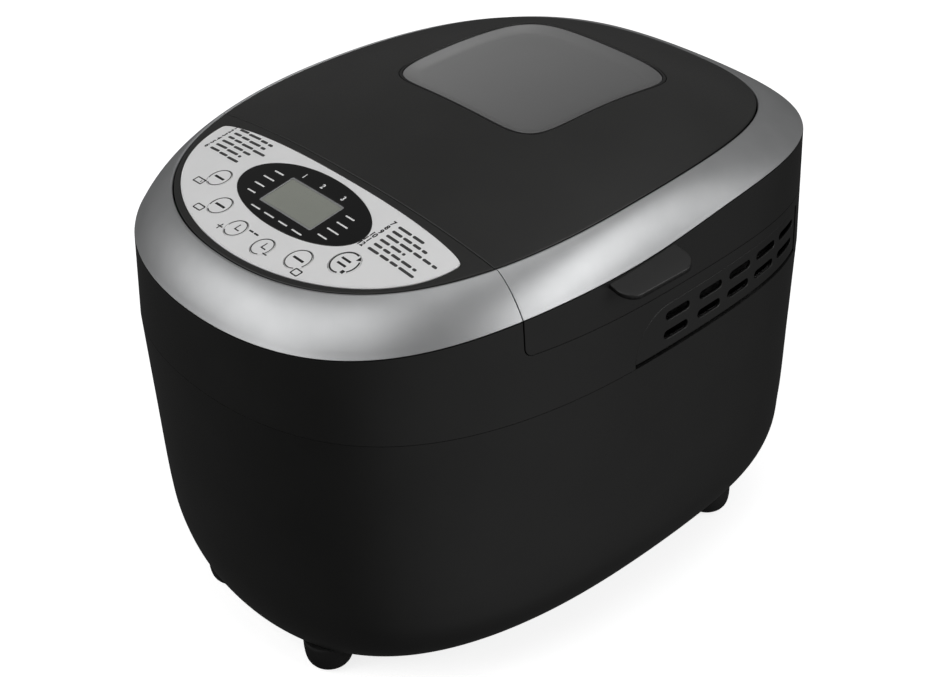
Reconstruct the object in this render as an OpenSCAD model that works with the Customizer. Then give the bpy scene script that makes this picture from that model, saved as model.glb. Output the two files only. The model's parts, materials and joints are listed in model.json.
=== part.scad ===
// Table-top bread machine: oval-cornered two-part housing, sloping control
// panel at the front, hinged domed lid with a window, lift-out bread pan,
// belt-driven kneading paddle. Millimetres, +Z up, front at -Y, right at +X.

/* [Housing] */
// half width of the housing at the seam
seam_a = 149.8; // [135:0.1:165]
// half length of the housing at the seam
seam_b = 193.5; // [180:0.1:205]
// height of the seam between lower housing and upper band
seam_z = 187.7; // [175:0.1:200]
// half width at the widest level of the lower housing
waist_a = 145.4; // [130:0.1:148]
// half length at the widest level of the lower housing
waist_b = 190.4; // [175:0.1:192]
// height of the level where the underside starts to round in
waist_z = 73.4; // [60:0.1:90]
// half width of the flat underside
base_a = 107; // [90:0.1:120]
// half length of the flat underside
base_b = 174.5; // [150:0.1:180]
// height of the flat underside above the table
base_z = 20.2; // [12:0.1:25]
// wall thickness of the moulded shells
wall = 2.6; // [2:0.1:4]

/* [Trim ring] */
// half width at the lower edge of the ring
ring_a = 148.7; // [135:0.1:165]
// half length at the lower edge of the ring
ring_b = 190; // [180:0.1:205]
// height of the lower edge at mid length
ring_z = 255.3; // [245:0.1:265]
// dip of the lower edge beside the finger tab
dip = 2.9; // [0:0.1:5]
// half width at the upper edge of the ring
top_a = 133.4; // [120:0.1:145]
// half length at the upper edge of the ring
top_b = 173.4; // [160:0.1:185]
// height of the upper edge at mid length
top_z = 277.1; // [265:0.1:290]
// how far the ring bulges outwards, 0.5 is straight
bulge = 0.62; // [0.5:0.01:0.7]

/* [Lid] */
// rise of the lid crown above the ring
dome = 18; // [8:0.5:22]
// how much more the crown rises behind the middle than in front of it
dome_t = 13.5; // [0:0.5:15]
// front face of the lid, along the machine
split_y = -83.5; // [-95:0.5:-70]
// height of the lower edge of the lid skirt
skirt_z = 225.6; // [215:0.1:235]
// half width of the window
win_a = 65.5; // [50:0.5:75]
// half length of the window
win_b = 58.5; // [40:0.5:65]
// window centre along the machine
win_y = 54; // [30:1:65]
// window centre across the machine
win_x = -4; // [-10:0.5:10]
// largest opening angle of the lid
lid_open = 95; // [60:1:100]

/* [Oven and pan] */
// centre of the oven along the machine
oven_y = 54; // [45:1:60]
// half width of the oven inside
oven_a = 99; // [85:1:105]
// half length of the oven inside
oven_b = 107; // [90:1:110]
// height of the oven floor
oven_z = 60; // [55:1:70]
// half width of the pan outside
pan_a = 72; // [60:1:76]
// half length of the pan outside
pan_b = 82; // [70:1:86]
// height of the pan rim
pan_z = 200; // [180:1:204]

/* [Drive] */
// motor axis along the machine
motor_y = -122; // [-130:1:-110]
// radius of the large pulley
pulley_r = 50; // [35:1:60]
// radius of the small pulley
pinion_r = 10; // [8:0.5:15]

/* [Hidden] */
N = 72;
yc = 5;
nf = 3.17; nb = 3.52; nbr = 3.8; nf2 = 3.01; nb2 = 2.88; nw = 3.3;
k1 = -0.030; k3 = 0.011; k4 = 0.019; k5 = -0.006;
lo_t = 13.1; lo_q = -7.5;
hi_y = 3.6; hi_t = 8.7; hi_q = -13; hi_c = -5.2;
pd = 2.2;
gap = 0.35;
hinge_x = -160; hinge_z = 226;
hinge_ys = [-45, 30];

// ---- plan curve shared by every level of the housing ----
function supr(p, n1, n2) = let (c = cos(p), s = sin(p), n = c < 0 ? n1 : n2)
    pow(pow(abs(c), n) + pow(abs(s), n), -1 / n) * exp(k1 * c + k3 * cos(3 * p) + k4 * cos(4 * p) + k5 * cos(5 * p));
function ang(i) = 360 * i / N;
function lev(a, b, z, n1, n2) = [for (i = [0:N-1]) let (p = ang(i), r = supr(p, n1, n2)) [a * r * sin(p), b * r * cos(p) + yc, z]];
function low(a, b, z) = lev(a, b, z, nw, nw);
function mixr(A, B, tx, tz) = [for (i = [0:N-1]) [A[i][0] + (B[i][0] - A[i][0]) * tx, A[i][1] + (B[i][1] - A[i][1]) * tx, A[i][2] + (B[i][2] - A[i][2]) * tz]];
function seamr(d, z) = lev(seam_a - d, seam_b - d, z, nf, nb);
function lor(d, dz) = [for (i = [0:N-1]) let (p = ang(i), r = supr(p, nf, nbr), u = r * cos(p))
    [(ring_a - d) * r * sin(p), (ring_b - d) * u + yc, ring_z + lo_t * u + lo_q * u * u - dip * exp(-pow(u / 0.3, 2)) + dz]];
function topz(u) = top_z + hi_t * u + hi_q * u * u + hi_c * u * u * u;
function hir(d, dz) = [for (i = [0:N-1]) let (p = ang(i), r = supr(p, nf2, nb2), u = r * cos(p))
    [(top_a - d) * r * sin(p), (top_b - d) * u + hi_y + yc, topz(u) + dz]];
function domer(s, dz) = [for (i = [0:N-1]) let (p = ang(i), r = supr(p, nf2, nb2), u = r * cos(p) * s)
    [top_a * r * sin(p) * s, top_b * u + hi_y + yc, topz(u) + (dome + dome_t * u) * (1 - pow(s, pd)) + dz]];
// crown height above any plan point
function crown(x, y) = let (X = x / top_a, Y = (y - hi_y - yc) / top_b, p = atan2(X, Y), s = min(1, norm([X, Y]) / supr(p, nf2, nb2)))
    topz(Y) + (dome + dome_t * Y) * (1 - pow(s, pd));
function crown_n(x, y) = let (dx = (crown(x + 1, y) - crown(x - 1, y)) / 2, dy = (crown(x, y + 1) - crown(x, y - 1)) / 2, l = norm([dx, dy, 1]))
    [-dx / l, -dy / l, 1 / l];
function outline(R) = [for (q = R) [q[0], q[1]]];
function sell(a, b, n, cy) = [for (i = [0:47]) let (t = 7.5 * i, c = cos(t), s = sin(t), r = pow(pow(abs(c), n) + pow(abs(s), n), -1 / n)) [a * r * c, b * r * s + cy]];
function dshape(d) = [for (i = [0:71]) let (t = 5 * i, c = cos(t), s = sin(t)) s < 0
    ? [(113.2 + d) * c, -94 + (71.8 + d) * s]
    : let (r = pow(pow(abs(c), 4) + pow(abs(s), 4), -1 / 4)) [(113.2 + d) * r * c, -94 + (6 + d) * r * s]];

// closed band: rings go up the outside and down the inside
module band(R) {
    n = len(R);
    polyhedron(points = [for (r = R) each r],
        faces = [for (i = [0:n-1], j = [0:N-1]) let (a = i * N + j, b = i * N + (j + 1) % N, c = ((i + 1) % n) * N + (j + 1) % N, d = ((i + 1) % n) * N + j)
            each [[a, b, c], [a, c, d]]], convexity = 6);
}
// closed lump: rings from the lower centre outwards, up and back to the upper centre
module lump(R, cb, ct) {
    n = len(R);
    polyhedron(points = concat([for (r = R) each r], [cb, ct]),
        faces = concat(
            [for (i = [0:n-2], j = [0:N-1]) let (a = i * N + j, b = i * N + (j + 1) % N, c = (i + 1) * N + (j + 1) % N, d = (i + 1) * N + j)
                each [[a, b, c], [a, c, d]]],
            [for (j = [0:N-1]) [n * N, (j + 1) % N, j]],
            [for (j = [0:N-1]) [n * N + 1, (n - 1) * N + j, (n - 1) * N + (j + 1) % N]]), convexity = 6);
}
// slab that follows the crown between two depths
module slab(zlo, zhi, s0) {
    S = [0.15, 0.33, 0.5, 0.66, 0.8, 0.9, 0.96, s0];
    cz = topz(0) + dome;
    lump(concat([for (s = S) domer(s, zlo)], [for (i = [len(S)-1:-1:0]) domer(S[i], zhi)]),
        [0, hi_y + yc, cz + zlo], [0, hi_y + yc, cz + zhi]);
}
module front_half(g) { translate([-250, split_y - gap / 2 - g - 400, -10]) cube([500, 400, 400]); }
module back_half(g) { translate([-250, split_y + gap / 2 + g, -10]) cube([500, 400, 400]); }
module rrect(a, b, r) {
    union() {
        square([2 * a - 2 * r, 2 * b], center = true);
        square([2 * a, 2 * b - 2 * r], center = true);
        for (x = [-1, 1], y = [-1, 1]) translate([x * (a - r), y * (b - r)]) circle(r = r, $fn = 48);
    }
}
module rframe(a, b, r, w, h) {
    linear_extrude(height = h) difference() { rrect(a, b, r); rrect(a - w, b - w, r - w); }
}
module ring(ro, ri, h) { difference() { cylinder(r = ro, h = h, $fn = 64); translate([0, 0, -1]) cylinder(r = ri, h = h + 2, $fn = 64); } }

// ---- base ----
module base_plate() color("dimgray")
    translate([0, 0, base_z + 0.2]) linear_extrude(height = 3) polygon(outline(low(base_a - wall - 1, base_b - wall - 1, 0)));
foot_pos = [[-52, -160.5], [52, -160.5], [-95, 109.5], [95, 109.5]];
module feet() color("black") for (q = foot_pos) translate([q[0], q[1], 0])
    rotate_extrude($fn = 48) polygon([[0, 0], [5, 0], [8.5, 0.9], [11, 2.4], [12.8, 4.6], [14, 7.6], [14.6, 11], [14.8, 14], [14.8, base_z - 0.2], [4, base_z - 0.2], [4, base_z - 2], [0, base_z - 2]]);
screw_pos = [[-80, -100], [80, -100], [-86, 10], [86, 10], [-60, 160], [60, 160]];
module base_screws() color("silver") for (q = screw_pos) translate([q[0], q[1], base_z - 2])
    difference() { union() { cylinder(r = 3.6, h = 2, $fn = 32); translate([0, 0, -0.4]) cylinder(r = 2.8, h = 0.5, $fn = 32); }
        translate([-2.6, -0.4, -1]) cube([5.2, 0.8, 1.6]); }

// ---- lower housing ----
module lower_shell() {
    A = low(base_a, base_b, base_z); B = low(waist_a, waist_b, waist_z);
    Ai = low(base_a - wall, base_b - wall, base_z); Bi = low(waist_a - wall, waist_b - wall, waist_z + 1);
    S = seamr(0, seam_z - 0.15); Si = seamr(wall, seam_z - 0.15);
    M = mixr(B, S, 0.5, 0.5); Mi = mixr(Bi, Si, 0.5, 0.5);
    band([A, mixr(A, B, 0.38, 0.075), mixr(A, B, 0.7, 0.29), mixr(A, B, 0.92, 0.62), B, M, S,
        Si, Mi, Bi, mixr(Ai, Bi, 0.92, 0.62), mixr(Ai, Bi, 0.7, 0.3), mixr(Ai, Bi, 0.38, 0.1), Ai]);
}
inlet = [30, 188, 58];
module lower_housing() color([0.13, 0.13, 0.12]) difference() {
    lower_shell();
    translate(inlet) rotate([-90, 0, 0]) cylinder(r = 7.3, h = 30, center = true, $fn = 40);
}
module cable_inlet() color("black") translate([inlet[0], 182.6, inlet[2]]) rotate([-90, 0, 0]) difference() {
    union() { cylinder(r = 7, h = 13, $fn = 40); cylinder(r = 10, h = 1.5, $fn = 40); }
    translate([0, 0, 11.5]) cylinder(r = 3.6, h = 3, $fn = 32);
}

// ---- upper band with side openings for the vent inserts ----
module band_shell(z) { // tube from the seam to the ring
    L = lor(0, -0.2); Li = lor(wall, -0.2);
    S = seamr(0, seam_z + 0.15); Si = seamr(wall, seam_z + 0.15);
    band([S, mixr(S, L, 0.5, 0.5), L, Li, mixr(Si, Li, 0.5, 0.5), Si]);
}
// outline of the vent insert seen from the side (y, z)
function vent2d(d) = concat(
    [for (i = [0:9]) let (t = 90 * i / 9) [19 - (28.5 + d) * cos(t), seam_z + 2.3 + (27.6 + d) * sin(t)]],
    [[148 + d, seam_z + 31.5 + d], [148 + d, seam_z + 0.35 - 5 * d], [-9.5 - d, seam_z + 0.35 - 5 * d]]);
module vent_prism(d, side) rotate([90, 0, 90]) linear_extrude(height = 120) polygon(vent2d(d));
module side_vent_prism(d, side) translate([side > 0 ? 90 : -210, 0, 0]) vent_prism(d, side);
module hinge_slots(z0, z1, y0, y1) for (y = hinge_ys) translate([-158, y + y0, z0]) cube([20, y1 - y0, z1 - z0]);
module upper_band() color([0.13, 0.13, 0.12]) difference() {
    band_shell();
    translate([-250, split_y - gap / 2, skirt_z]) cube([500, 500, 100]);
    side_vent_prism(0.25, 1);
    side_vent_prism(0.25, -1);
    for (y = hinge_ys) for (s = [-1, 1]) translate([-158, y + s * 11.5 - 4.3, 219.4]) cube([20, 8.6, 10]);
}
slot_y = [-3.4, 25.5, 54.2, 81.3, 107.6, 133.2];
module vent(side) intersection() {
    difference() { B0 = 0.4; S = seamr(B0, seam_z + 0.15); Si = seamr(wall - 0.2, seam_z + 0.15); L = lor(B0, -0.2); Li = lor(wall - 0.2, -0.2);
        band([S, L, Li, Si]);
        for (i = [1:5]) for (r = [0, 1]) translate([side * 140, slot_y[i] - r * 1.6, seam_z + (r == 0 ? 21.2 : 9.8) + 0.012 * slot_y[i]])
            rotate([0, 90, 0]) union() { cube([5, 15, 100], center = true); for (s = [-1, 1]) translate([0, s * 7.5, 0]) cylinder(r = 2.5, h = 100, center = true, $fn = 24); }
    }
    side_vent_prism(0, side);
}
module vent_grille_right() color([0.11, 0.11, 0.1]) vent(1);
module vent_grille_left() color([0.11, 0.11, 0.1]) vent(-1);

// ---- trim ring, front part fixed, rear part on the lid ----
module trim() {
    L = lor(0.1, 0.2); H = hir(0, -0.1); Li = lor(2.4, 0.2); Hi = hir(2.2, -2.6);
    band([L, mixr(L, H, 0.14, 0.3), mixr(L, H, 1 - bulge, 0.5), mixr(L, H, 0.68, 0.8), H,
        hir(1.6, 0), Hi, mixr(Li, Hi, 0.68, 0.8), mixr(Li, Hi, 1 - bulge, 0.5), mixr(Li, Hi, 0.14, 0.3), Li]);
}
module front_trim_ring() color("silver") intersection() { trim(); front_half(0); }
module lid_trim_ring() color("silver") intersection() { trim(); back_half(0); }

// ---- control panel ----
lcd_y = -116.9;
buttons = [[-62.9, -129.2, 7.5], [-38.5, -144.7, 7.5], [-12.1, -151.6, 7], [14.9, -152.3, 7], [40.7, -146.7, 8], [63.6, -132.9, 9]];
module at_crown(x, y) { n = crown_n(x, y); translate([x, y, crown(x, y)]) rotate([0, acos(n[2]), atan2(n[1], n[0])]) children(); }
module button_holes(r) for (b = buttons) at_crown(b[0], b[1]) translate([0, 0, -8]) cylinder(r = b[2] + r, h = 16, $fn = 48);
module control_fascia() color([0.2, 0.2, 0.19]) difference() {
    intersection() { slab(-2.8, 0, 0.978); front_half(0); }
    intersection() { slab(-1.25, 3, 1.02); translate([0, 0, 200]) linear_extrude(height = 120) polygon(dshape(0.6)); }
    translate([0, 0, 200]) linear_extrude(height = 120) translate([0, lcd_y]) rrect(33, 17, 3);
    button_holes(0.3);
}
module panel_overlay() color([0.74, 0.74, 0.74]) difference() {
    intersection() { slab(-1.1, 0, 1); translate([0, 0, 200]) linear_extrude(height = 120) polygon(dshape(0)); }
    translate([0, lcd_y, 200]) linear_extrude(height = 120) polygon(sell(54.9, 22.9, 2.08, 0));
    button_holes(0.3);
}
module display_bezel() color("black") difference() {
    intersection() { slab(-1.1, 0.25, 1); translate([0, lcd_y, 200]) linear_extrude(height = 120) polygon(sell(54.7, 22.7, 2.08, 0)); }
    translate([0, lcd_y, 200]) linear_extrude(height = 120) rrect(25, 12.7, 1);
}
module panel_frame() { translate([0, lcd_y, crown(0, lcd_y)]) rotate([atan((crown(0, lcd_y + 6) - crown(0, lcd_y - 6)) / 12), 0, 0]) children(); }
module display_lens() color([0.5, 0.52, 0.48]) panel_frame() translate([0, 0, -1.6]) linear_extrude(height = 1.1) rrect(24.6, 12.2, 0.8);
module display_module() color("darkgreen") panel_frame() translate([0, 0, -6.2]) linear_extrude(height = 4.2) rrect(31, 15.5, 1.5);
module control_board() color("darkgreen") panel_frame() union() {
    translate([-80, -44, -12]) cube([160, 62, 1.6]);
    for (b = buttons) translate([b[0], b[1] - lcd_y, -10.4]) translate([-3, -3, 0]) cube([6, 6, 2.2]);
}
module buzzer() color("black") panel_frame() translate([52, 6, -19.2]) cylinder(r = 6, h = 7, $fn = 40);
module button(i) { b = buttons[i]; color([0.75, 0.75, 0.75]) at_crown(b[0], b[1]) union() {
    translate([0, 0, -4.4]) cylinder(r = b[2], h = 4.6, $fn = 48);
    translate([0, 0, -4.4]) cylinder(r = b[2] + 1, h = 0.8, $fn = 48); } }
module button_menu() button(0);
module button_size() button(1);
module button_time_up() button(2);
module button_time_down() button(3);
module button_colour() button(4);
module button_start() button(5);
module power_board() color("darkgreen") union() {
    translate([-70, -104, 150]) cube([140, 1.6, 62]);
    translate([-40, -119, 160]) cube([34, 15, 28]);
    translate([5, -119, 160]) cube([19, 15, 16]);
    translate([30, -119, 160]) cube([19, 15, 16]);
    translate([-62, -112, 165]) rotate([90, 0, 0]) translate([0, 0, -8]) cylinder(r = 6, h = 14, $fn = 32);
}

// ---- oven ----
// cross wall profile under the crown (x, z): d is the clearance to the shells
function cross(z0, y, d, e) = concat(
    [[146.2 + e, z0], [146.2 + e, 236], [145 + e, 241], [142 + e, 248], [138, 253.5], [132, 259.5], [126, 264.5]],
    [for (x = [120:-10:-120]) [x, crown(x, y) - d]],
    [[-126, 264.5], [-132, 259.5], [-138, 253.5], [-142 - e, 248], [-145 - e, 241], [-146.2 - e, 236], [-146.2 - e, z0]]);
module chamber_deck() color([0.18, 0.18, 0.18]) difference() {
    union() {
        translate([0, 0, 218.8]) linear_extrude(height = 2.4) difference() {
            intersection() { polygon(outline(lev(seam_a - wall - 1.6, seam_b - wall - 2.2, 0, nf, nb))); translate([-300, split_y - 2.6]) square([600, 400]); }
            translate([0, oven_y]) rrect(oven_a + 2, oven_b + 2, 30);
        }
        translate([0, split_y - 0.2, 0]) rotate([90, 0, 0]) linear_extrude(height = 2.4) polygon(cross(218.8, split_y - 2, 3.4, -1.7));
    }
    for (y = hinge_ys) translate([-160, y - 18, 200]) cube([22, 36, 30]);
}
module oven_chamber() color("silver") translate([0, oven_y, 0]) difference() {
    union() {
        translate([0, 0, oven_z]) linear_extrude(height = 1) rrect(oven_a + 1, oven_b + 1, 29);
        translate([0, 0, oven_z]) rframe(oven_a + 1, oven_b + 1, 29, 1, 162.2);
        translate([0, 0, 221.4]) linear_extrude(height = 0.8) difference() { rrect(oven_a + 9, oven_b + 9, 36); rrect(oven_a, oven_b, 28); }
    }
    translate([0, 0, oven_z - 1]) cylinder(r = 14, h = 3, $fn = 48);
    for (x = [-30, 30]) translate([x, -oven_b + 8, 80]) rotate([90, 0, 0]) cylinder(r = 3.8, h = 30, $fn = 32);
    translate([0, -oven_b + 8, 140]) rotate([90, 0, 0]) cylinder(r = 3.2, h = 30, $fn = 32);
}
module heat_shield() color("gainsboro") translate([0, oven_y, 66]) difference() {
    rframe(oven_a + 11, oven_b + 9, 40, 0.8, 142);
    for (x = [-30, 30]) translate([x, -oven_b - 4, 14]) rotate([90, 0, 0]) cylinder(r = 6, h = 30, $fn = 32);
    translate([0, -oven_b - 4, 74]) rotate([90, 0, 0]) cylinder(r = 5, h = 30, $fn = 32);
}
el_a = 86; el_b = 96; el_r = 30; el_t = 3.2;
module rod(p, q, r) { d = q - p; l = norm(d); translate(p) rotate([0, acos(d[2] / l), atan2(d[1], d[0])]) cylinder(r = r, h = l, $fn = 32); }
module bend(x, y, a0, z) translate([x, y, z]) rotate([0, 0, a0]) rotate_extrude(angle = 90, $fn = 64) translate([el_r, 0]) circle(r = el_t, $fn = 24);
module heating_element() color("dimgray") translate([0, oven_y, 0]) union() {
    z = 80;
    for (x = [-1, 1]) rod([x * el_a, -(el_b - el_r), z], [x * el_a, el_b - el_r, z], el_t);
    rod([-(el_a - el_r), el_b, z], [el_a - el_r, el_b, z], el_t);
    rod([-(el_a - el_r), -el_b, z], [el_a - el_r, -el_b, z], el_t);
    bend(el_a - el_r, el_b - el_r, 0, z); bend(-(el_a - el_r), el_b - el_r, 90, z);
    bend(-(el_a - el_r), -(el_b - el_r), 180, z); bend(el_a - el_r, -(el_b - el_r), 270, z);
    for (x = [-1, 1]) rod([x * 30, -el_b, z], [x * 30, -oven_b - 22, z], 2.6);
}
module element_brackets() translate([0, oven_y, 0]) for (a = [[el_a, -40, 0], [el_a, 40, 0], [-el_a, -40, 0], [-el_a, 40, 0], [0, el_b, 90]])
    translate([a[0], a[1], oven_z + 1.05]) rotate([0, 0, a[2]]) union() {
        translate([-5, -4, 0]) cube([10, 8, 1.2]);
        translate([-1, -4, 0]) cube([2, 8, 15.4]);
    }
module temperature_sensor() color("silver") translate([0, oven_y - oven_b, 140]) rotate([90, 0, 0]) union() {
    translate([0, 0, -14]) cylinder(r = 2.8, h = 30, $fn = 32);
    translate([0, 0, 2]) cylinder(r = 6, h = 2, $fn = 32);
}
module chamber_clips() color("silver") union() { element_brackets(); pan_clips(); }
module pan_clips() translate([0, oven_y, 0]) for (x = [-1, 1]) union() {
    translate([x > 0 ? 49.2 : -59.2, -9, oven_z + 1.05]) cube([10, 18, 1.2]);
    translate([x > 0 ? 49.2 : -50.4, -9, oven_z + 1.05]) cube([1.2, 18, 14]);
}
module bearing_block() color("gray") translate([0, oven_y, 0]) union() {
    difference() {
        union() { translate([0, 0, 42]) cylinder(r = 15, h = 14, $fn = 64); translate([0, 0, 56]) cylinder(r = 26, h = 3.9, $fn = 64); }
        translate([0, 0, 40]) cylinder(r = 4.05, h = 30, $fn = 64);
    }
}

// ---- motor, belt and pulleys ----
module motor_stator() color([0.6, 0.6, 0.62]) translate([0, motor_y, 0]) difference() {
    union() {
        translate([-36, -36, 72]) cube([72, 72, 30]);
        translate([0, 0, 56]) cylinder(r = 31, h = 16, $fn = 64);
        translate([0, 0, 102]) cylinder(r = 31, h = 14, $fn = 64);
    }
    translate([0, 0, 59]) cylinder(r = 20.4, h = 54, $fn = 64);
    translate([0, 0, 50]) cylinder(r = 3.05, h = 80, $fn = 64);
}
module motor_rotor() color([0.7, 0.7, 0.72]) translate([0, motor_y, 0]) union() {
    translate([0, 0, 26]) cylinder(r = 3, h = 104, $fn = 64);
    translate([0, 0, 66]) cylinder(r = 20, h = 40, $fn = 64);
    translate([0, 0, 120]) cylinder(r = 9, h = 6, $fn = 48);
    for (a = [0:45:315]) rotate([0, 0, a]) translate([7, -0.8, 120]) cube([21, 1.6, 6]);
}
module small_pulley() color("black") translate([0, motor_y, 0]) difference() {
    union() {
        translate([0, 0, 29.5]) cylinder(r = pinion_r, h = 11, $fn = 64);
        translate([0, 0, 28]) cylinder(r = pinion_r + 4, h = 1.2, $fn = 64);
        translate([0, 0, 40.8]) cylinder(r = pinion_r + 4, h = 1.2, $fn = 64);
        translate([0, 0, 28]) cylinder(r = pinion_r - 3, h = 14, $fn = 64);
    }
    translate([0, 0, 20]) cylinder(r = 3.02, h = 30, $fn = 64);
}
module motor_bracket() color("silver") translate([0, motor_y, 0]) union() {
    difference() {
        translate([-46, -46, 53]) cube([92, 92, 2.8]);
        translate([0, 0, 50]) cylinder(r = 7, h = 10, $fn = 48);
    }
    for (x = [-1, 1], y = [-1, 1]) translate([x * 40, y * 40, base_z + 3.4]) cylinder(r = 5, h = 53 - base_z - 3.4, $fn = 32);
}
module motor_capacitor() color([0.85, 0.85, 0.8]) translate([72, -120, base_z + 3.4]) union() { cylinder(r = 15, h = 52, $fn = 48); translate([0, 0, 52]) cylinder(r = 12, h = 3, $fn = 48); }
belt_d = oven_y - motor_y;
belt_s = asin((pulley_r - pinion_r) / belt_d);
belt_l = belt_d * cos(belt_s);
module belt_arc(y, r, a0, sweep) translate([0, y, 0]) rotate([0, 0, a0]) rotate_extrude(angle = sweep, $fn = 96) translate([r + 0.35, 0]) square([1.95, 9]);
module drive_belt() color("black") translate([0, 0, 30.4]) union() {
    belt_arc(oven_y, pulley_r, -belt_s, 180 + 2 * belt_s);
    belt_arc(motor_y, pinion_r, 180 + belt_s, 180 - 2 * belt_s);
    for (m = [0, 1]) mirror([m, 0, 0]) translate([0, oven_y, 0]) rotate([0, 0, -belt_s]) translate([pulley_r + 0.35, -belt_l, 0]) cube([1.95, belt_l, 9]);
}
module large_pulley() color("gray") translate([0, oven_y, 0]) difference() {
    union() {
        difference() {
            union() { translate([0, 0, 29.6]) cylinder(r = pulley_r, h = 10.6, $fn = 96); translate([0, 0, 28.4]) cylinder(r = pulley_r + 3, h = 1.2, $fn = 96); }
            translate([0, 0, 33]) cylinder(r = pulley_r - 4, h = 20, $fn = 96);
        }
        translate([0, 0, 28.4]) cylinder(r = 11, h = 13, $fn = 64);
    }
    translate([0, 0, 20]) cylinder(r = 4.02, h = 40, $fn = 64);
    for (a = [0:60:300]) rotate([0, 0, a]) translate([28, 0, 20]) cylinder(r = 9, h = 30, $fn = 40);
}
module drive_coupling() color("silver") translate([0, oven_y, 0]) union() {
    translate([0, 0, 26]) cylinder(r = 4, h = 40, $fn = 64);
    translate([0, 0, 61.6]) cylinder(r = 11, h = 5, $fn = 64);
    for (s = [-1, 1]) translate([s > 0 ? 5 : -9.6, s > 0 ? 4.8 : -9.4, 66]) cube([4.6, 4.6, 7.4]);
}

// ---- pan ----
module bread_pan() color([0.28, 0.28, 0.28]) translate([0, oven_y, 0]) difference() {
    union() {
        translate([0, 0, 78]) linear_extrude(height = pan_z - 78) rrect(pan_a, pan_b, 18);
        translate([0, 0, pan_z - 3]) linear_extrude(height = 3) rrect(pan_a + 4, pan_b + 4, 22);
    }
    translate([0, 0, 79.8]) linear_extrude(height = 200) rrect(pan_a - 1.6, pan_b - 1.6, 16.4);
    translate([0, 0, 70]) cylinder(r = 8.05, h = 20, $fn = 64);
}
module pan_foot() color([0.4, 0.4, 0.4]) translate([0, oven_y, 61.4]) difference() {
    union() { ring(48, 46, 16.5); translate([0, 0, 15.3]) ring(52, 30, 1.2); }
    for (a = [0, 90, 180, 270]) rotate([0, 0, a + 45]) translate([40, -5, -1]) cube([20, 10, 9]);
}
ear_x = pan_a + 4.4; bail_z = pan_z - 6;
module bail_ears() color("silver") translate([0, oven_y, bail_z]) for (s = [-1, 1]) union() {
    difference() {
        union() {
            translate([s > 0 ? ear_x : -ear_x - 1.6, -7, -13]) cube([1.6, 14, 13]);
            translate([s * (ear_x + 0.8), 0, 0]) rotate([0, 90, 0]) cylinder(r = 7, h = 1.6, center = true, $fn = 48);
            translate([s > 0 ? pan_a + 0.05 : -ear_x - 1.6, -7, -13]) cube([ear_x + 1.6 - pan_a - 0.05, 14, 3]);
        }
        translate([s * ear_x, 0, 0]) rotate([0, 90, 0]) cylinder(r = 2.08, h = 20, center = true, $fn = 48);
    }
}
bl_a = pan_a + 9; bl_b = pan_b + 9; bl_r = 16; bw = 2.1;
module bail_handle() color("silver") translate([0, oven_y, bail_z]) union() {
    for (s = [-1, 1]) {
        rod([s * bl_a, 0, 0], [s * bl_a, bl_b - bl_r, 0], bw);
        translate([s * bl_a, 0, 0]) sphere(r = bw + 0.3, $fn = 32);
        translate([s > 0 ? pan_a + 1.6 : -bl_a, 0, 0]) rotate([0, 90, 0]) cylinder(r = 2, h = bl_a - pan_a - 1.6, $fn = 48);
    }
    rod([-(bl_a - bl_r), bl_b, 0], [bl_a - bl_r, bl_b, 0], bw);
    for (s = [0, 1]) translate([s == 0 ? bl_a - bl_r : -(bl_a - bl_r), bl_b - bl_r, 0]) rotate([0, 0, 90 * s])
        rotate_extrude(angle = 90, $fn = 64) translate([bl_r, 0]) circle(r = bw, $fn = 24);
}
module shaft_bushing() color("gold") translate([0, oven_y, 0]) difference() {
    union() { translate([0, 0, 73.6]) cylinder(r = 8, h = 6.2, $fn = 64); translate([0, 0, 75.4]) cylinder(r = 13, h = 1.2, $fn = 64); }
    translate([0, 0, 70]) cylinder(r = 4.05, h = 20, $fn = 64);
}
module shaft_seal() color("firebrick") translate([0, oven_y, 79.85]) ring(9, 4.4, 3);
module pan_shaft() color("silver") translate([0, oven_y, 0]) union() {
    translate([0, 0, 67]) cylinder(r = 4, h = 33, $fn = 64);
    translate([-14, -3.6, 67.2]) cube([28, 7.2, 5.6]);
}
module kneading_paddle() color([0.25, 0.25, 0.25]) translate([0, oven_y, 0]) difference() {
    union() {
        translate([0, 0, 83.4]) cylinder(r = 9.5, h = 18, $fn = 64);
        translate([7, -2, 83.4]) cube([40, 4, 8]);
        translate([7, -2, 91]) cube([33, 4, 14]);
        translate([40, 2, 91]) rotate([90, 0, 0]) cylinder(r = 7, h = 4, $fn = 48);
        translate([30, 2, 105]) rotate([90, 0, 0]) cylinder(r = 10, h = 4, $fn = 48);
    }
    translate([0, 0, 80]) cylinder(r = 4.06, h = 20.2, $fn = 64);
}

// ---- lid ----
module win(d) translate([win_x, 0]) polygon(sell(win_a + d, win_b + d, 6.4, win_y));
module win_prism(d) translate([0, 0, 200]) linear_extrude(height = 120) win(d);
module lid_shell() color([0.17, 0.17, 0.16]) difference() {
    intersection() { slab(-2.4, 0, 0.978); back_half(0); }
    win_prism(3.2);
}
module lid_skirt() color([0.13, 0.13, 0.12]) difference() {
    union() {
        intersection() { band_shell(); back_half(0); translate([-250, -250, skirt_z + gap]) cube([500, 600, 100]); }
        translate([0, split_y + 2.6, 0]) rotate([90, 0, 0]) linear_extrude(height = 2.4) polygon(cross(228.4, split_y + 1, 3.2, 1.3));
    }
    for (y = hinge_ys) translate([-158, y - 7.1, 220]) cube([20, 14.2, 12]);
    tab_at() translate([-12, -25.7, -3.1]) cube([20, 51.4, 7]);
}
module tab_at() translate([152, -3, 251.1]) rotate([3.5, 0, 0]) rotate([0, 11.3, 0]) children();
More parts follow.
